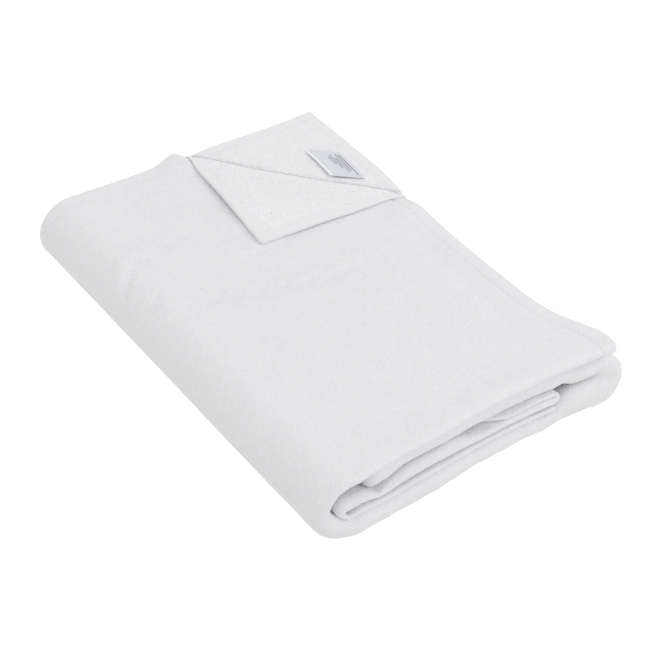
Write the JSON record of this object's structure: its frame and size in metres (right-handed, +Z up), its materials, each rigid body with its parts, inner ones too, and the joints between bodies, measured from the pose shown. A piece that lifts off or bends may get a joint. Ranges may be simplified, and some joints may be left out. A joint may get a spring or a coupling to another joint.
{
  "type": "folded beach towel",
  "caption": "White terry beach towel folded into a thick flat packet, its top corner turned over so that the looped reverse and a sewn care label show.",
  "frame": {"origin": "middle of the packet's flat underside, on the surface that it rests on", "axes": "+Z up through the layers, +Y along the long edges from the doubled front edge towards the hemmed free edges, +X along the short edges from the big rounded fold towards the hemmed end"},
  "size_m": [0.29, 0.408, 0.0649],
  "materials": {
    "towelling": "matt short pile outside, looped inside",
    "label_satin": "smooth satin"
  },
  "bodies": {
    "root": {"towel": "towelling", "label": "label_satin"}
  },
  "joints": []
}
